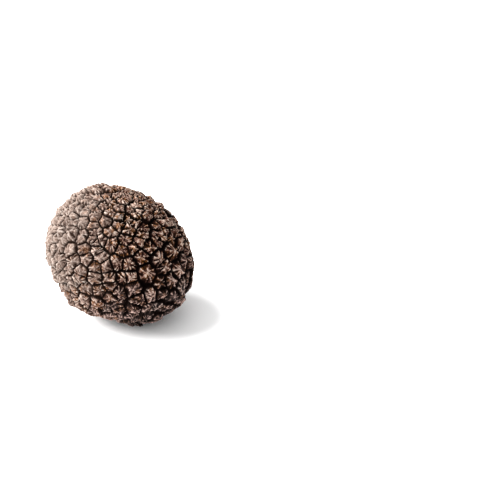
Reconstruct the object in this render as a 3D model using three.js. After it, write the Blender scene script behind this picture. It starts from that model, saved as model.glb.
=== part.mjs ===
// A whole black truffle, as one solid: a lumpy, slightly tilted body covered in polygonal warts that
// grooves part from each other. Millimetres, +Z up, front towards -Y. The origin is the middle of the
// bounding box's bottom, on the plane that the truffle rests on.
//
// Each wart is a low blunt pyramid. Its foot is a polygon of groove corners that it shares with its
// neighbours, its shoulder is a smaller copy of that polygon, and its tip is one point. Where the body
// would reach below the resting plane, the warts are pressed flat on it.

import * as THREE from "three";
import { ConvexHull } from "three/addons/math/ConvexHull.js";

// The body, as the surface that the wart tips reach.
const BODY_SEMI_AXES = [26.6, 24.0, 21.8];
const BODY_TURN_DEG = { aboutY: 24, aboutZ: -24 };
const REST_BELOW_CENTRE = 21.4; // the resting plane cuts the body this far below its centre
const OPEN_GROOVE = 0.6; // how far a groove stays above the resting plane, between warts pressed on it

// Swellings (height above 0) and hollows (below 0): the way they face, their height, and how widely they
// spread, where 0.3 is about 40 degrees across at half height.
const LUMPS = [
  { facing: [0.94, 0.16, 0.3], height: 0.4, spread: 0.3 },
  { facing: [0.45, 0.42, 0.79], height: 0.3, spread: 0.3 },
  { facing: [-0.31, 0.45, 0.84], height: 1.1, spread: 0.26 },
  { facing: [-0.87, 0.23, 0.44], height: -1.4, spread: 0.36 },
  { facing: [-0.95, -0.14, -0.27], height: -2.1, spread: 0.24 },
  { facing: [-0.68, -0.34, -0.64], height: 0.8, spread: 0.24 },
  { facing: [0.5, -0.41, -0.76], height: 1.1, spread: 0.26 },
  { facing: [0.42, -0.85, -0.05], height: 0.9, spread: 0.28 },
  { facing: [0.46, -0.68, -0.42], height: -1.2, spread: 0.1 },
  { facing: [-0.35, -0.82, 0.4], height: 0.5, spread: 0.3 },
  { facing: [0.05, -0.62, 0.75], height: -0.5, spread: 0.22 },
  { facing: [0.45, 0.85, -0.1], height: 1.0, spread: 0.34 },
  { facing: [-0.3, 0.92, 0.1], height: -1.5, spread: 0.2 },
  { facing: [-0.6, 0.6, -0.45], height: 0.9, spread: 0.3 },
  { facing: [0.15, 0.7, -0.65], height: -0.7, spread: 0.22 },
  { facing: [-0.28, 0.16, -0.95], height: 0.9, spread: 0.24 },
  { facing: [-0.1, -0.56, -0.82], height: -0.8, spread: 0.22 },
  { facing: [0.85, -0.24, -0.44], height: 0.9, spread: 0.24 },
];

// The warts.
const WART_COUNT = 500;
const COARSE_SIDE = new THREE.Vector3(0.75, -0.55, -0.35).normalize(); // the largest warts face this way
const COARSENING = 0.22; // how far the warts are drawn away from that side, as a share of the body's radius
const SCATTER = 0.22; // how far a wart strays from an even spacing, as a share of that spacing
const RELAXING_ROUNDS = 2;
const GROOVE_DEPTH = 2.0;
const GROOVE_DEPTH_SPREAD = 0.35;
const SHOULDER_SHARE = 0.7; // from the wart's middle to its corner
const SHOULDER_DROP = 0.5; // below the tip's level
const TIP_LOWEST = -0.45; // against the body's surface
const TIP_HIGHEST = 0.25;
const SEED = 20;

const SKIN_COLOUR = 0x5b473d;

// Random numbers from 0 to 1, the same ones in each run (the mulberry32 generator).
function randomFrom(seed) {
  let state = seed >>> 0;
  return () => {
    state = (state + 0x6d2b79f5) >>> 0;
    let t = state;
    t = Math.imul(t ^ (t >>> 15), t | 1);
    t ^= t + Math.imul(t ^ (t >>> 7), t | 61);
    return ((t ^ (t >>> 14)) >>> 0) / 2 ** 32;
  };
}

const random = randomFrom(SEED);
const between = (low, high) => low + (high - low) * random();

// A random step of up to the given length, in a random direction.
function randomStep(length) {
  const step = new THREE.Vector3(between(-1, 1), between(-1, 1), between(-1, 1));
  return step.multiplyScalar(length);
}

const bodyTurn = new THREE.Matrix4()
  .makeRotationY(THREE.MathUtils.degToRad(BODY_TURN_DEG.aboutY))
  .multiply(new THREE.Matrix4().makeRotationZ(THREE.MathUtils.degToRad(BODY_TURN_DEG.aboutZ)));
const intoBody = bodyTurn.clone().transpose();
const lumps = LUMPS.map(({ facing, height, spread }) => ({
  facing: new THREE.Vector3(...facing).normalize(),
  height,
  spread,
}));

// How far the body's surface is from its centre in a direction of length 1.
function reach(direction) {
  const local = direction.clone().applyMatrix4(intoBody);
  const [a, b, c] = BODY_SEMI_AXES;
  const ellipsoid = 1 / Math.hypot(local.x / a, local.y / b, local.z / c);
  const lumpiness = lumps.reduce(
    (sum, { facing, height, spread }) =>
      sum + height * Math.exp((direction.dot(facing) - 1) / spread ** 2),
    0,
  );
  return ellipsoid + lumpiness;
}

// The point at a height above the body's surface, raised to a clearance above the resting plane if it
// would lie below that.
function surfacePoint(direction, height, clearance = 0) {
  const point = direction.clone().multiplyScalar(reach(direction) + height);
  point.z = Math.max(point.z, clearance - REST_BELOW_CENTRE);
  return point;
}

// Evenly spaced directions along a spiral from pole to pole, at the golden angle.
function spiralDirections(count) {
  const goldenAngle = Math.PI * (3 - Math.sqrt(5));
  return Array.from({ length: count }, (_, i) => {
    const z = 1 - (2 * (i + 0.5)) / count;
    const ring = Math.sqrt(1 - z * z);
    return new THREE.Vector3(ring * Math.cos(i * goldenAngle), ring * Math.sin(i * goldenAngle), z);
  });
}

// The polygon of each wart: the hull of the wart directions has one face where three warts meet, and that
// face's normal points at their common groove corner. Returns the corners, and for each wart its corners'
// numbers, anticlockwise from outside.
function wartPolygons(directions) {
  const hull = new ConvexHull().setFromPoints(directions);
  const numberOf = new Map(directions.map((direction, i) => [direction, i]));
  const corners = hull.faces.map((face) => face.normal.clone());
  const polygons = directions.map(() => []);
  hull.faces.forEach((face, number) => {
    for (let i = 0; i < 3; i++) polygons[numberOf.get(face.getEdge(i).head().point)].push(number);
  });
  polygons.forEach((polygon, wart) => {
    const up = directions[wart];
    const east = new THREE.Vector3(0, 0, 1).cross(up).normalize();
    const north = up.clone().cross(east);
    const bearing = (number) => Math.atan2(corners[number].dot(north), corners[number].dot(east));
    polygon.sort((a, b) => bearing(a) - bearing(b));
  });
  return { corners, polygons };
}

// Moves each wart to the middle of its polygon, which evens out their sizes.
function relaxed(directions) {
  const { corners, polygons } = wartPolygons(directions);
  return polygons.map((polygon) => {
    const middle = new THREE.Vector3();
    polygon.forEach((number) => middle.add(corners[number]));
    return middle.normalize();
  });
}

function wartDirections() {
  const spacing = Math.sqrt((4 * Math.PI) / WART_COUNT);
  let directions = spiralDirections(WART_COUNT).map((direction) =>
    direction.add(randomStep(spacing)).normalize(),
  );
  for (let round = 0; round < RELAXING_ROUNDS; round++) directions = relaxed(directions);
  return directions.map((direction) =>
    direction.add(randomStep(spacing * SCATTER)).addScaledVector(COARSE_SIDE, -COARSENING).normalize(),
  );
}

// The whole skin as one closed mesh: each wart's flanks from its groove corners up to its shoulder, and
// its crown from there to its tip.
function truffleGeometry() {
  const directions = wartDirections();
  const { corners, polygons } = wartPolygons(directions);
  const points = corners.map((corner) =>
    surfacePoint(corner, -GROOVE_DEPTH + between(-1, 1) * GROOVE_DEPTH_SPREAD, OPEN_GROOVE),
  );
  const triangles = [];
  polygons.forEach((polygon, wart) => {
    const rise = between(TIP_LOWEST, TIP_HIGHEST);
    const tip = points.push(surfacePoint(directions[wart], rise)) - 1;
    const shoulder = polygon.map((number) => {
      const direction = directions[wart].clone().lerp(corners[number], SHOULDER_SHARE).normalize();
      return points.push(surfacePoint(direction, rise - SHOULDER_DROP)) - 1;
    });
    polygon.forEach((corner, i) => {
      const next = (i + 1) % polygon.length;
      triangles.push(corner, polygon[next], shoulder[next]);
      triangles.push(corner, shoulder[next], shoulder[i]);
      triangles.push(shoulder[i], shoulder[next], tip);
    });
  });
  return new THREE.BufferGeometry().setFromPoints(points).setIndex(triangles);
}

// Puts the origin at the middle of the bounding box's bottom.
function standOnOrigin(geometry) {
  geometry.computeBoundingBox();
  const middle = geometry.boundingBox.getCenter(new THREE.Vector3());
  geometry.translate(-middle.x, -middle.y, -geometry.boundingBox.min.z);
  geometry.computeVertexNormals();
  return geometry;
}

const skin = new THREE.MeshStandardMaterial({ color: SKIN_COLOUR, roughness: 0.85, metalness: 0 });
const truffle = new THREE.Mesh(standOnOrigin(truffleGeometry()), skin);
truffle.name = "truffle";

const group = new THREE.Group();
group.add(truffle);

export default group;
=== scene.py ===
import math
import random

import bpy
import numpy as np
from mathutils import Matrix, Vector


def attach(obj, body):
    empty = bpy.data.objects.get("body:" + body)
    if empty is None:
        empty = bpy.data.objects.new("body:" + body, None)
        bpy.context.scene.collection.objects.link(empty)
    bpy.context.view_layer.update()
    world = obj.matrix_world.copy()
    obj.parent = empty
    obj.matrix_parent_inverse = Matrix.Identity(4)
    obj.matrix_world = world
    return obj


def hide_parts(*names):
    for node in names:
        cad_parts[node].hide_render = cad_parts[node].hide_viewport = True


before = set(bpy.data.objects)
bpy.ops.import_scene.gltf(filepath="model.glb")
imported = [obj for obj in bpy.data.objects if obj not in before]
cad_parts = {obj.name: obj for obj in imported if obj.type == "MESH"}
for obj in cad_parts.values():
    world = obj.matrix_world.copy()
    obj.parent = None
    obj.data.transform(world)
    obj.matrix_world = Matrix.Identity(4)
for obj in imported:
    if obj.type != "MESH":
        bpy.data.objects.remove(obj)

# A whole black truffle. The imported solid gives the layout: every groove corner, shoulder and tip of its
# warts. Around that layout this script grows the visible skin: steep narrow grooves, warts split by
# fissures that run from groove to tip, sharp ribs between the fissures, and pitted or pointed tips.
# Lengths are in metres.

MM = 0.001
MICRON = 1e-6
SEED = 11

# Grooves between the warts.
COLUMN_SPACING = 0.39 * MM  # from one point of a groove to the next
GROOVE_WANDER = 0.13 * MM  # sideways, away from the straight line between two groove corners
GROOVE_UNEVENNESS = 0.15 * MM  # up and down

# The rings of a wart, from its tip (0) to the groove around it (1). The first ones have points only on
# ribs and fissures, and the others have one for each point of the groove.
SPARSE_RINGS = (0.17, 0.37)
FULL_RINGS = (0.56, 0.72, 0.83, 0.92)
SHOULDER = 0.7  # the ring that the solid's shoulder points are on
WALL_STEEPNESS = 3.0  # how much of the drop from shoulder to groove comes at the very edge

# What makes each wart different.
RIB_HEIGHT = (0.05 * MM, 0.22 * MM)
FISSURE_SPACING = (4.5, 9)  # groove points from one fissure to the next
FISSURE_DEPTH = 1.7 * MM  # of the deepest ones
FISSURE_SHARE = (0.2, 1.0)  # of that depth, for one fissure
CUTTING = (0.5, 1.0)  # of that depth, for all of a wart's fissures together
FISSURE_SHARPNESS = 1.9  # 1 for straight sides from rib to fissure, more for flat ribs and narrow fissures
FISSURE_START = (0.0, 0.55)  # the ring where a fissure begins
FISSURE_RUN = 0.4  # from there to the ring where it has its full depth
FISSURE_CLEARANCE = 0.55 * MM  # how far a fissure's floor stays above the groove's
LOBE_DEPTH = 0.12  # how far a fissure draws the wart's outline in, as a share of its radius
TIP_SHIFT = 0.3  # sideways, as a share of the wart's radius
TIP_LIFT = (-0.8 * MM, 0.25 * MM)
CROWN_LIFT = (-0.3 * MM, 0.15 * MM)
PEAK = (-0.1 * MM, 0.7 * MM)  # extra height that grows from the wart's edge to its tip
LEAN = 0.25  # slope of the crown, at most
TWIST = 0.35  # radians between the tip and the groove, at most
ROUGHNESS_STEP = 0.02 * MM  # random step of every point, for a rough skin

# Between which rings some of these come in, from the tip outwards, or fade out.
RIBS_COME_IN = (0.0, 0.5)
PIT_FADES_OUT = (0.1, 0.5)  # a pit is a tip with a lift below 0
LOBES_COME_IN = (0.5, 0.9)
CROWN_FADES_OUT = (0.8, 1.0)

# Two things that stand out on the front: a smooth grey wart near the top, which is the wart that faces this
# way most closely, and a dark cleft low at the right, where three warts have drawn apart.
SMOOTH_WART_FACES = (0.1, -0.45, 0.89)
SMOOTH_CUTTING = 0.15
SMOOTH_RISE = 0.35 * MM
CLEFT_FACES = (0.39, -0.92, 0.03)
CLEFT_RADIUS = 1.5 * MM
CLEFT_DEPTH = 1.2 * MM

# How widely the skin is smoothed to find its sharp edges and its bulges, which the material turns into
# painted highlight and painted shade.
EDGE_ROUNDS = 3
BULGE_ROUNDS = 24

# The bake map: six charts, side by side in columns and rows.
MAP_CHARTS = (3, 2)
CHART_REACH = math.radians(58)  # from the middle of a chart to its edge

# The camera looks down at the truffle, which stands left of the middle.
ELEVATION = math.radians(28)
CAMERA_DISTANCE = 450 * MM
LENS_MM = 100
SENSOR_MM = 36
AIM_RIGHT = 40.5 * MM
AIM_UP = 4.4 * MM

# The studio: a pale floor, a large soft light at the upper left, and a weak white surround.
FLOOR_SIZE = 8.0
FLOOR_WHITENESS = 0.95
FLOOR_ROUGHNESS = 0.9
KEY_SIDE = (-0.73, 0.12, 0.69)  # the way to the light
KEY_DISTANCE = 0.8
KEY_WIDTH = 0.9
KEY_WATTS = 32
SURROUND_FADES = (-0.6, 0.8)  # along X, from left to right
SURROUND_LEFT = 1.6
SURROUND_RIGHT = 0.65

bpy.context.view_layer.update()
rng = random.Random(SEED)
steps = np.random.default_rng(SEED)


def unit(vector):
    return vector / np.linalg.norm(vector)


def smoothstep(low, high, value):
    share = np.clip((value - low) / (high - low), 0.0, 1.0)
    return share * share * (3.0 - 2.0 * share)


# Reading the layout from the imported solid. Each wart of the solid is three bands of triangles: groove
# corners to shoulder points, twice, and shoulder points to the tip.


def merged_triangles(mesh):
    """The mesh's points, with those at one place merged, and its triangles."""
    places = np.empty(len(mesh.vertices) * 3)
    mesh.vertices.foreach_get("co", places)
    microns = np.round(places.reshape(-1, 3) / MICRON).astype(np.int64)
    points, number = np.unique(microns, axis=0, return_inverse=True)
    number = number.ravel()
    triangles = [tuple(int(number[v]) for v in polygon.vertices) for polygon in mesh.polygons]
    return points * MICRON, triangles


def read_warts(triangles):
    """For each wart its tip, its shoulder points and its groove corners, anticlockwise from outside.
    A groove corner is where nine triangles meet, three from each of its warts, and it has other groove
    corners for neighbours. A tip has none."""
    around = {}  # for each point, its neighbours: each with the one that follows it
    for triangle in triangles:
        for i, point in enumerate(triangle):
            around.setdefault(point, {})[triangle[(i + 1) % 3]] = triangle[(i + 2) % 3]
    nine = {point for point, ring in around.items() if len(ring) == 9}
    corners = {point for point in nine if len(nine & around[point].keys()) >= 2}
    warts = []
    for tip, ring in sorted(around.items()):
        if tip in corners or corners & ring.keys():
            continue
        shoulders = [min(ring)]
        while len(shoulders) < len(ring):
            shoulders.append(ring[shoulders[-1]])
        following = shoulders[1:] + shoulders[:1]
        groove = [around[after][before] for before, after in zip(shoulders, following)]
        warts.append((tip, shoulders, groove))
    return warts


# Growing the skin.


class Skin:
    """The points and triangles made so far. Grooves are shared by the warts on both sides."""

    def __init__(self, layout):
        self.layout = layout
        self.points = []
        self.rims = []  # of each point: 0 at the tip of its wart, 1 on the groove around it
        self.triangles = []
        self.owners = []  # the wart of each triangle
        self.corner_numbers = {}
        self.groove_runs = {}

    def add(self, point, rim=1.0):
        self.points.append(point)
        self.rims.append(rim)
        return len(self.points) - 1

    def corner(self, number):
        if number not in self.corner_numbers:
            self.corner_numbers[number] = self.add(self.layout[number])
        return self.corner_numbers[number]

    def groove(self, start, end):
        """The numbers of the points from one groove corner up to, but without, the next."""
        if (start, end) not in self.groove_runs:
            self.make_groove(start, end)
        return self.groove_runs[start, end]

    def make_groove(self, start, end):
        a, b = self.layout[start], self.layout[end]
        outward = unit(a + b - 2 * body_centre)
        sideways = unit(np.cross(b - a, outward))
        spans = 2 * max(1, round(np.linalg.norm(b - a) / (2 * COLUMN_SPACING)))
        inner = []
        for step in range(1, spans):
            fade = math.sin(math.pi * step / spans)
            wander = rng.uniform(-1, 1) * GROOVE_WANDER * fade
            rise = rng.uniform(-1, 1) * GROOVE_UNEVENNESS * fade
            inner.append(self.add(a + (b - a) * step / spans + sideways * wander + outward * rise))
        self.groove_runs[start, end] = [self.corner(start)] + inner
        self.groove_runs[end, start] = [self.corner(end)] + inner[::-1]

    def triangle(self, wart, *numbers):
        self.triangles.append(numbers)
        self.owners.append(wart)

    def band(self, wart, outer, outer_columns, inner, inner_columns, columns):
        """Triangles between two closed rings. Each point's column says how far round it is, and both
        rings start at column 0."""
        i = j = 0
        outer_ends = outer_columns[1:] + [columns]
        inner_ends = inner_columns[1:] + [columns]
        while i < len(outer) or j < len(inner):
            step_outer = j == len(inner) or (i < len(outer) and outer_ends[i] <= inner_ends[j])
            a, b = outer[i % len(outer)], inner[j % len(inner)]
            if step_outer:
                self.triangle(wart, a, outer[(i + 1) % len(outer)], b)
                i += 1
            else:
                self.triangle(wart, a, inner[(j + 1) % len(inner)], b)
                j += 1


def ribs_and_fissures(edge_spans):
    """The marks around a wart: ribs at every groove corner, and fissures between them, with more ribs on
    long edges. Each is its column, its height as a rib, its depth as a fissure and the ring it starts on."""
    marks = []
    start = 0
    for spans in edge_spans:
        fissures = min(spans // 2, max(1, round(spans / rng.uniform(*FISSURE_SPACING))))
        ribs = [round(spans * k / fissures) for k in range(fissures + 1)]
        for rib, next_rib in zip(ribs, ribs[1:]):
            marks.append((start + rib, rng.uniform(*RIB_HEIGHT), 0.0, 0.0))
            column = start + rng.randint(rib + 1, next_rib - 1)
            marks.append((column, 0.0, rng.uniform(*FISSURE_SHARE), rng.uniform(*FISSURE_START)))
        start += spans
    return marks


def across_columns(marks, which, columns):
    """One value for each column, in straight lines from mark to mark around the wart."""
    places = [mark[0] for mark in marks] + [columns]
    values = [mark[which] for mark in marks] + [marks[0][which]]
    return np.interp(np.arange(columns), places, values)


def grow_wart(skin, wart, smooth, tip_number, shoulder_numbers, corner_numbers):
    """Adds one wart to the skin. Returns its peak's number and two directions across it, east and north."""
    layout = skin.layout
    loop, shoulder, edge_spans = [], [], []
    for i, corner in enumerate(corner_numbers):
        j = (i + 1) % len(corner_numbers)
        run = skin.groove(corner, corner_numbers[j])
        edge_spans.append(len(run))
        loop += run
        a, b = layout[shoulder_numbers[i]], layout[shoulder_numbers[j]]
        shoulder += [a + (b - a) * step / len(run) for step in range(len(run))]
    columns = len(loop)
    floor = np.array([skin.points[number] for number in loop])
    shoulder = np.array(shoulder)
    tip = layout[tip_number]

    middle = floor.mean(axis=0)
    up = unit(np.cross(floor - middle, np.roll(floor, -1, axis=0) - middle).sum(axis=0))
    east = unit(np.cross(up, floor[0] - middle))
    north = np.cross(up, east)
    drop = (shoulder - floor) @ up

    marks = ribs_and_fissures(edge_spans)
    rib = across_columns(marks, 1, columns)
    cutting = SMOOTH_CUTTING if smooth else rng.uniform(*CUTTING)
    fissure = FISSURE_DEPTH * cutting * across_columns(marks, 2, columns) ** FISSURE_SHARPNESS
    fissure_start = across_columns(marks, 3, columns)
    radius = np.linalg.norm(floor - middle, axis=1).mean()
    tip_shift = (east * rng.uniform(-1, 1) + north * rng.uniform(-1, 1)) * TIP_SHIFT * radius
    tip_lift = 0.0 if smooth else rng.uniform(*TIP_LIFT)
    peak_lift = 0.0 if smooth else rng.uniform(*PEAK)
    crown_lift = SMOOTH_RISE if smooth else rng.uniform(*CROWN_LIFT)
    lean = east * rng.uniform(-1, 1) * LEAN + north * rng.uniform(-1, 1) * LEAN
    twist = rng.uniform(-1, 1) * TWIST

    def ring(t):
        """Where the wart's surface is on ring t, for every column."""
        lobed = t - LOBE_DEPTH * smoothstep(*LOBES_COME_IN, t) * fissure / FISSURE_DEPTH
        inside = np.minimum(lobed / SHOULDER, 1.0)[:, None]
        outside = np.clip((lobed - SHOULDER) / (1.0 - SHOULDER), 0.0, 1.0)[:, None]
        place = tip + (shoulder - tip) * inside + (floor - shoulder) * outside
        place += up * ((outside[:, 0] - outside[:, 0] ** WALL_STEEPNESS) * drop)[:, None]
        turn = twist * (1.0 - t)
        flat = place - middle
        height = (flat @ up)[:, None]
        flat = flat - up * height
        flat = flat * math.cos(turn) + np.cross(up, flat) * math.sin(turn)
        on_crown = 1.0 - smoothstep(*CROWN_FADES_OUT, t)
        rise = crown_lift + flat @ lean + rib * smoothstep(*RIBS_COME_IN, t)
        rise = rise + min(tip_lift, 0.0) * (1.0 - smoothstep(*PIT_FADES_OUT, t)) + peak_lift * (1.0 - t)
        level = height[:, 0] + rise * on_crown
        cut = fissure * smoothstep(fissure_start, fissure_start + FISSURE_RUN, t) * on_crown
        level = np.maximum(level - cut, np.minimum(level, (floor - middle) @ up + FISSURE_CLEARANCE))
        place = middle + flat + up * level[:, None] + tip_shift * (1.0 - t)
        return place + steps.normal(0.0, ROUGHNESS_STEP, place.shape)

    every = list(range(columns))
    marked = sorted({mark[0] for mark in marks})
    outer, outer_columns = loop, every
    for t in reversed(SPARSE_RINGS + FULL_RINGS):
        inner_columns = marked if t in SPARSE_RINGS else every
        places = ring(t)
        inner = [skin.add(places[column], t) for column in inner_columns]
        skin.band(wart, outer, outer_columns, inner, inner_columns, columns)
        outer, outer_columns = inner, inner_columns
    rise = crown_lift + peak_lift + tip_lift
    peak = skin.add(tip + up * rise + tip_shift, 0.0)
    for i, number in enumerate(outer):
        skin.triangle(wart, number, outer[(i + 1) % len(outer)], peak)
    return peak, east, north


def opened_cleft(points, rims):
    """The skin's points and rims with those around the cleft sunk in and counted as groove, which the
    material paints black as shade.
    """
    faces = unit(np.array(CLEFT_FACES))
    away = points - body_centre
    along = away @ faces
    off = np.linalg.norm(away - along[:, None] * faces, axis=1)
    share = np.where(along > 0, np.exp(-((off / CLEFT_RADIUS) ** 2)), 0.0)
    return points - faces * (share * CLEFT_DEPTH)[:, None], np.maximum(rims, share)


layout, triangles = merged_triangles(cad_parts["truffle"].data)
body_centre = (layout.min(axis=0) + layout.max(axis=0)) / 2
skin = Skin(layout)
wart_parts = read_warts(triangles)
facings = np.array([unit(layout[tip] - body_centre) for tip, shoulders, groove in wart_parts])
smooth_wart = int(np.argmax(facings @ np.array(SMOOTH_WART_FACES)))
warts = [grow_wart(skin, number, number == smooth_wart, *parts) for number, parts in enumerate(wart_parts)]
points, rims = opened_cleft(np.array(skin.points), np.array(skin.rims))
points[:, 2] = np.maximum(points[:, 2], 0.0)  # nothing reaches below the resting plane


# The mesh, with what its material needs to know about each place.


class Neighbours:
    """Which points of the skin are next to which."""

    def __init__(self, points, triangles):
        self.points = points
        corners = np.array(triangles)
        self.starts = corners.ravel()
        self.ends = np.roll(corners, -1, axis=1).ravel()
        self.counts = np.bincount(self.starts, minlength=len(points))
        a, b, c = (points[corners[:, i]] for i in range(3))
        face_normals = np.repeat(np.cross(b - a, c - a), 3, axis=0)
        normals = self.sums(face_normals)
        self.normals = normals / np.linalg.norm(normals, axis=1)[:, None]

    def sums(self, values):
        columns = [np.bincount(self.starts, values[:, i], len(self.points)) for i in range(3)]
        return np.stack(columns, axis=1)

    def standing_out(self, rounds):
        """How far each point stands out from the skin when that is smoothed by so many rounds."""
        smooth = self.points
        for _ in range(rounds):
            average = self.sums(smooth[self.ends]) / self.counts[:, None]
            smooth = (smooth + average) / 2
        return ((self.points - smooth) * self.normals).sum(axis=1)


def bake_map(places, owners):
    """A map for baked colours. Each wart is seen from the body's centre through one face of a cube, and each
    face has a chart: its axis gives the column, and the side of the axis it is on gives the row."""
    axes = np.argmax(np.abs(facings), axis=1)
    signs = np.sign(facings[np.arange(len(facings)), axes])
    axis, sign = axes[owners], signs[owners]
    chart = (axis, sign > 0)
    away = places - body_centre
    every = np.arange(len(away))
    along = away[every, axis] * sign
    uv = np.empty((len(away), 2))
    for i, charts in enumerate(MAP_CHARTS):
        angle = np.arctan2(away[every, (axis + 1 + i) % 3], along)
        uv[:, i] = (chart[i] + 0.5 + 0.5 * angle / CHART_REACH) / charts
    return uv


def places_on_warts(places, owners):
    """For each place, how far east and north of its wart's peak it is, in millimetres, and the number that
    the wart has for its colour."""
    peaks, easts, norths = (np.array(column) for column in zip(*warts))
    away = places - points[peaks][owners]
    numbers = np.array([rng.uniform(0.0, LAST_PLAIN) for wart in warts])
    numbers[[rng.random() < GREYISH_SHARE for wart in warts]] = GREYISH
    numbers[smooth_wart] = GREY_WART
    across = np.empty((len(owners), 3), np.float32)
    across[:, 0] = (away * easts[owners]).sum(axis=1) / MM
    across[:, 1] = (away * norths[owners]).sum(axis=1) / MM
    across[:, 2] = numbers[owners]
    return across


def make_skin_mesh():
    mesh = bpy.data.meshes.new("truffle_skin")
    mesh.from_pydata(points.tolist(), [], skin.triangles)
    mesh.polygons.foreach_set("use_smooth", [True] * len(mesh.polygons))
    mesh.attributes.new("rim", "FLOAT", "POINT").data.foreach_set("value", rims)
    neighbours = Neighbours(points, skin.triangles)
    for name, rounds in (("edge", EDGE_ROUNDS), ("bulge", BULGE_ROUNDS)):
        height = (neighbours.standing_out(rounds) / MM).astype(np.float32)
        mesh.attributes.new(name, "FLOAT", "POINT").data.foreach_set("value", height)
    places = points[np.array(skin.triangles).ravel()]
    owners = np.repeat(skin.owners, 3)
    across = places_on_warts(places, owners)
    mesh.attributes.new("across", "FLOAT_VECTOR", "CORNER").data.foreach_set("vector", across.ravel())
    mesh.uv_layers.new(name="OFBake").data.foreach_set("uv", bake_map(places, owners).ravel())
    mesh.update()
    return mesh


# The skin's material. "rim" goes from 0 at a wart's tip to 1 on the groove around it. "edge" and "bulge" say
# how far the skin stands out from its close and its wider surroundings, in millimetres. "across" is the place
# on the wart, in millimetres from its tip, with a random number for each wart as its third value.

# Colours from dark hollows to bright ribs, where tone carries painted shade and painted highlight: where each
# lies on the scale of tone, and its sRGB code.
BARE_TONES = ((0.0, 0x120502), (0.3, 0x4A2A20), (0.6, 0x83685B), (0.85, 0xAA978A))
# The dusty ramp is paler and flatter: partly dust, partly painted light on the lit side.
DUSTY_PAINTED_LIGHT_TONES = ((0.0, 0x2E211A), (0.3, 0x66574F), (0.6, 0x8B7F77), (0.9, 0x9A9089))
# The grooves' colours: black as painted shade, and a lighter brown on the dusty side, partly dust and partly
# painted light.
BLACK_GROOVE_SHADE = 0x070201
DUSTY_PAINTED_LIGHT_GROOVE = 0x2E211A
RUST = 0x7A4A1C
PLUM = 0x7C6761
GREY = 0x776F69

# Where the skin is dusty and pale, partly dust and partly painted light, and where it is darker as painted
# shade: the way that side faces, and from none to full, measured from the body's centre towards that side.
DUST_AND_PAINTED_LIGHT_SIDE = (-0.9, -0.15, 0.3)
DUST_AND_PAINTED_LIGHT_FADES = (-5 * MM, 25 * MM)
PAINTED_SHADE_SIDE = (0.4, -0.4, -0.8)
PAINTED_SHADE_FADES = (5 * MM, 24 * MM)
BLOTCH_SCALE = 150.0
BLOTCHINESS = 24 * MM  # how unevenly the dust and painted light and the painted shade end

# Each wart's random number. Plain warts have one up to LAST_PLAIN.
LAST_PLAIN = 0.8
GREYISH = 0.9
GREY_WART = 1.0
GREYISH_SHARE = 0.03  # of all warts
GREY_TINT = 0.6

# Tone: its level, and what makes the skin lighter or, below 0, darker. Contrast widens what the skin's shape
# and its fine pattern do; what the shape does is painted highlight on bulges and ribs and painted shade in
# hollows.
TONE = 0.07
# The dusty side gets more tone and less contrast: partly dust, partly painted flat light.
TONE_OF_DUST_AND_PAINTED_LIGHT = 0.18
# The side away from the light is darker: painted shade.
TONE_OF_PAINTED_SHADE = -0.29
CONTRAST = 1.5
CONTRAST_OF_DUST_AND_PAINTED_LIGHT = -1.0
PAINTED_LIGHT_OF_BULGE = 0.5
PAINTED_LIGHT_OF_EDGE = 1.7
STREAK_TONE = 0.3
GRAIN_TONE = 0.4
WART_TONE = 0.2
GREY_TONE = -0.12
CRACK_TONE = 0.45

# Streaks that run outwards from a wart's tip, cracks between them, grain and rusty patches. A scale is
# larger for finer noise.
WART_STEP = 97.0  # so large that no two warts have the same streaks
STREAK_CHANGE = 0.45  # for each millimetre outwards
STREAK_SCALE = 2.2
STREAK_ENDS = (0.35, 0.65)
CRACK_WIDTH = 0.05
MEAN_CRACK = 0.85
GRAIN_SCALE = 2600.0
PATCH_SCALE = 420.0
PATCH_ENDS = (0.5, 0.62)
RUST_IN_DUST_AND_PAINTED_LIGHT = (1.0, 0.2)  # no rust where the dust and painted light have the first value, full rust where they have the second
RUST_IN_TONE = (1.0, 0.2)  # likewise for tone
RUST_OF_PAINTED_SHADE = -0.6

# Black grooves, painted shade: from which value of "rim" to which the skin turns black, and what shifts that.
GROOVE_ENDS = (0.72, 0.88)
GROOVE_OF_DUST_AND_PAINTED_LIGHT = -0.13
GROOVE_OF_GRAIN = 0.3
DUST_AND_PAINTED_LIGHT_IN_GROOVES = 0.6

SPECULAR = 0.03
ROUGHNESS = 0.75
ROUGHNESS_OF_RIM = 0.2

# The fine relief that is too small for the mesh.
RELIEF_OF_STREAK = 0.5
RELIEF_OF_CRACK = 0.6
RELIEF_OF_GRAIN = 1.0
RELIEF_STRENGTH = 0.8
RELIEF_HEIGHT = 0.07 * MM


def colour(code):
    """The shader's colour for an sRGB code."""
    channels = [(code >> shift & 255) / 255 for shift in (16, 8, 0)]
    return [c / 12.92 if c <= 0.04045 else ((c + 0.055) / 1.055) ** 2.4 for c in channels] + [1.0]


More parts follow.
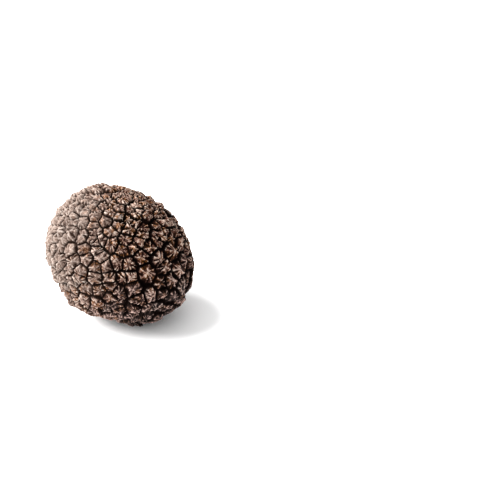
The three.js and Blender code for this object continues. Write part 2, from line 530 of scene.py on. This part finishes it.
class Nodes:
    """Makes the nodes of one material, or of the world, and links them."""

    def __init__(self, owner):
        owner.use_nodes = True
        self.tree = owner.node_tree

    def set(self, socket, value):
        if isinstance(value, bpy.types.NodeSocket):
            self.tree.links.new(value, socket)
        else:
            socket.default_value = value

    def make(self, kind, inputs=(), **settings):
        node = self.tree.nodes.new("ShaderNode" + kind)
        for name, value in settings.items():
            setattr(node, name, value)
        for name, value in dict(inputs).items():
            self.set(node.inputs[name], value)
        return node

    def attribute(self, name):
        return self.make("Attribute", attribute_name=name)

    def math(self, operation, a, b=0.0):
        return self.make("Math", {0: a, 1: b}, operation=operation).outputs[0]

    def centred(self, value, middle=0.5):
        return self.math("SUBTRACT", value, middle)

    def vector(self, operation, a, b):
        return self.make("VectorMath", {0: a, 1: b}, operation=operation).outputs[0]

    def noise(self, place, scale, detail=3.0, roughness=0.6):
        inputs = {"Vector": place, "Scale": scale, "Detail": detail, "Roughness": roughness}
        return self.make("TexNoise", inputs).outputs["Fac"]

    def between(self, value, low, high):
        """From 0 at the first value to 1 at the second, which may be the lower one."""
        inputs = {"Value": value, "From Min": low, "From Max": high}
        return self.make("MapRange", inputs, interpolation_type="SMOOTHSTEP").outputs["Result"]

    def towards(self, place, side, fades, shift):
        """From 0 to 1 in the direction of a side, with a shift that makes the change uneven."""
        along = self.make("VectorMath", {0: place, 1: side}, operation="DOT_PRODUCT").outputs["Value"]
        return self.between(self.math("ADD", along, shift), *fades)

    def weighted(self, terms):
        """The sum of each term times its weight."""
        total = 0.0
        for weight, value in terms:
            node = self.make("Math", {0: value, 1: weight, 2: total}, operation="MULTIPLY_ADD")
            total = node.outputs[0]
        return total

    def mix(self, share, a, b, blend="MIX"):
        node = self.make("Mix", data_type="RGBA", blend_type=blend)
        for socket, value in zip((node.inputs[0], node.inputs[6], node.inputs[7]), (share, a, b)):
            self.set(socket, value)
        return node.outputs[2]

    def ramp(self, value, stops):
        node = self.make("ValToRGB", {"Fac": value})
        while len(node.color_ramp.elements) < len(stops):
            node.color_ramp.elements.new(0.5)
        for element, (place, code) in zip(node.color_ramp.elements, stops):
            element.position = place
            element.color = colour(code)
        return node.outputs["Color"]


def skin_material():
    material = bpy.data.materials.new("truffle_skin")
    nodes = Nodes(material)
    shader = material.node_tree.nodes["Principled BSDF"]
    rim = nodes.attribute("rim").outputs["Fac"]
    edge = nodes.attribute("edge").outputs["Fac"]
    bulge = nodes.attribute("bulge").outputs["Fac"]
    place = nodes.make("TexCoord").outputs["Object"]
    parts = nodes.make("SeparateXYZ", {0: nodes.attribute("across").outputs["Vector"]})
    x, y, wart = parts.outputs

    # Streaks: noise over the heading, which hardly changes with radius.
    flat = nodes.make("CombineXYZ", {0: x, 1: y}).outputs[0]
    radius = nodes.make("VectorMath", {0: flat}, operation="LENGTH").outputs["Value"]
    heading = nodes.make("VectorMath", {0: flat}, operation="NORMALIZE").outputs[0]
    lift = nodes.make("CombineXYZ", {2: nodes.weighted([(WART_STEP, wart), (STREAK_CHANGE, radius)])})
    streak = nodes.noise(nodes.vector("ADD", heading, lift.outputs[0]), STREAK_SCALE, detail=2.0)
    crack = nodes.between(nodes.math("ABSOLUTE", nodes.centred(streak)), 0.0, CRACK_WIDTH)
    streak = nodes.between(streak, *STREAK_ENDS)
    grain = nodes.noise(place, GRAIN_SCALE, detail=4.0, roughness=0.65)
    patch = nodes.noise(place, PATCH_SCALE, detail=2.0)

    # Dusty and pale on one side, partly dust and partly painted light; darker on the other side as painted
    # shade.
    from_centre = nodes.vector("SUBTRACT", place, tuple(body_centre))
    shift = nodes.math("MULTIPLY", nodes.centred(nodes.noise(place, BLOTCH_SCALE)), BLOTCHINESS)
    dust_and_painted_light = nodes.towards(from_centre, DUST_AND_PAINTED_LIGHT_SIDE, DUST_AND_PAINTED_LIGHT_FADES, shift)
    painted_shade = nodes.towards(from_centre, PAINTED_SHADE_SIDE, PAINTED_SHADE_FADES, shift)

    # Painted highlight on bulges and sharp ribs, which are partly paler as well, and painted shade in
    # hollows; then streaks, grain, each wart's own tone and cracks.
    grey = nodes.between(wart, LAST_PLAIN, GREY_WART)
    detail = nodes.weighted(
        [
            (PAINTED_LIGHT_OF_BULGE, bulge),
            (PAINTED_LIGHT_OF_EDGE, edge),
            (STREAK_TONE, nodes.centred(streak)),
            (GRAIN_TONE, nodes.centred(grain)),
            (WART_TONE, nodes.centred(wart, LAST_PLAIN / 2)),
            (GREY_TONE, grey),
            (CRACK_TONE, nodes.centred(crack, MEAN_CRACK)),
        ]
    )
    # Less contrast on the dusty side, as painted flat light.
    contrast = nodes.weighted([(CONTRAST, 1.0), (CONTRAST_OF_DUST_AND_PAINTED_LIGHT, dust_and_painted_light)])
    detail = nodes.math("MULTIPLY", detail, contrast)
    tone = nodes.weighted([(TONE, 1.0), (TONE_OF_DUST_AND_PAINTED_LIGHT, dust_and_painted_light), (TONE_OF_PAINTED_SHADE, painted_shade), (1.0, detail)])
    base = nodes.mix(dust_and_painted_light, nodes.ramp(tone, BARE_TONES), nodes.ramp(tone, DUSTY_PAINTED_LIGHT_TONES))
    # The painted shade is also tinted towards plum.
    base = nodes.mix(painted_shade, base, colour(PLUM), "COLOR")
    base = nodes.mix(nodes.math("MULTIPLY", grey, GREY_TINT), base, colour(GREY), "COLOR")

    # Rusty patches, where neither the dust and painted light nor the painted shade hides them.
    bare = nodes.weighted([(1.0, nodes.between(dust_and_painted_light, *RUST_IN_DUST_AND_PAINTED_LIGHT)), (RUST_OF_PAINTED_SHADE, painted_shade)])
    rusty = nodes.math("MULTIPLY", nodes.between(patch, *PATCH_ENDS), bare)
    rusty = nodes.math("MULTIPLY", rusty, nodes.between(tone, *RUST_IN_TONE))
    base = nodes.mix(rusty, base, colour(RUST), "COLOR")

    # Black grooves: painted shade, lighter on the dusty side.
    groove_shade = nodes.weighted([(1.0, rim), (GROOVE_OF_DUST_AND_PAINTED_LIGHT, dust_and_painted_light), (GROOVE_OF_GRAIN, nodes.centred(grain))])
    dust_and_painted_light_share = nodes.math("MULTIPLY", dust_and_painted_light, DUST_AND_PAINTED_LIGHT_IN_GROOVES)
    groove_shade_colour = nodes.mix(dust_and_painted_light_share, colour(BLACK_GROOVE_SHADE), colour(DUSTY_PAINTED_LIGHT_GROOVE))
    base = nodes.mix(nodes.between(groove_shade, *GROOVE_ENDS), base, groove_shade_colour)
    nodes.set(shader.inputs["Base Color"], base)
    nodes.set(shader.inputs["Roughness"], nodes.weighted([(ROUGHNESS, 1.0), (ROUGHNESS_OF_RIM, rim)]))
    shader.inputs["Specular IOR Level"].default_value = SPECULAR

    relief = [(RELIEF_OF_STREAK, streak), (RELIEF_OF_CRACK, crack), (RELIEF_OF_GRAIN, grain)]
    inputs = {"Height": nodes.weighted(relief), "Strength": RELIEF_STRENGTH, "Distance": RELIEF_HEIGHT}
    nodes.set(shader.inputs["Normal"], nodes.make("Bump", inputs).outputs[0])
    return material


truffle = bpy.data.objects.new("truffle_skin", make_skin_mesh())
bpy.context.scene.collection.objects.link(truffle)
truffle.data.materials.append(skin_material())
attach(truffle, "root")
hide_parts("truffle")


# The camera, the floor and the light.


def make_floor():
    bpy.ops.mesh.primitive_plane_add(size=FLOOR_SIZE)
    floor = bpy.context.object
    floor.name = "studio_floor"
    paint = bpy.data.materials.new("studio_floor")
    paint.use_nodes = True
    shader = paint.node_tree.nodes["Principled BSDF"]
    shader.inputs["Base Color"].default_value = (FLOOR_WHITENESS, FLOOR_WHITENESS, FLOOR_WHITENESS, 1)
    shader.inputs["Roughness"].default_value = FLOOR_ROUGHNESS
    floor.data.materials.append(paint)


def facing(direction):
    return Vector(direction).to_track_quat("-Z", "Y").to_euler()


def make_key_light():
    lamp = bpy.data.lights.new("key", "AREA")
    lamp.shape = "DISK"
    lamp.size = KEY_WIDTH
    lamp.energy = KEY_WATTS
    light = bpy.data.objects.new("key", lamp)
    towards = unit(np.array(KEY_SIDE))
    light.location = body_centre + towards * KEY_DISTANCE
    light.rotation_euler = facing(-towards)
    bpy.context.scene.collection.objects.link(light)


def make_camera():
    camera = bpy.data.objects.new("camera", bpy.data.cameras.new("camera"))
    camera.data.lens = LENS_MM
    camera.data.sensor_width = SENSOR_MM
    forward = np.array([0, math.cos(ELEVATION), -math.sin(ELEVATION)])
    up = np.array([0, math.sin(ELEVATION), math.cos(ELEVATION)])
    target = body_centre + np.array([AIM_RIGHT, 0, 0]) + up * AIM_UP
    camera.location = target - forward * CAMERA_DISTANCE
    camera.rotation_euler = facing(forward)
    bpy.context.scene.collection.objects.link(camera)
    bpy.context.scene.camera = camera


def make_surround():
    """White all round as the camera sees it. As the truffle sees it, dimmer towards its dark side."""
    world = bpy.data.worlds.new("surround")
    nodes = Nodes(world)
    background = world.node_tree.nodes["Background"]
    heading = nodes.make("SeparateXYZ", {0: nodes.make("TexCoord").outputs["Generated"]}).outputs["X"]
    fades = {"From Min": SURROUND_FADES[0], "From Max": SURROUND_FADES[1]}
    strengths = {"To Min": SURROUND_LEFT, "To Max": SURROUND_RIGHT}
    light = nodes.make("MapRange", {"Value": heading, **fades, **strengths}).outputs["Result"]
    seen = nodes.make("LightPath").outputs["Is Camera Ray"]
    nodes.set(background.inputs["Strength"], nodes.math("MAXIMUM", light, seen))
    background.inputs["Color"].default_value = (1, 1, 1, 1)
    bpy.context.scene.world = world


make_floor()
make_key_light()
make_camera()
make_surround()
bpy.context.scene.view_settings.view_transform = "Standard"
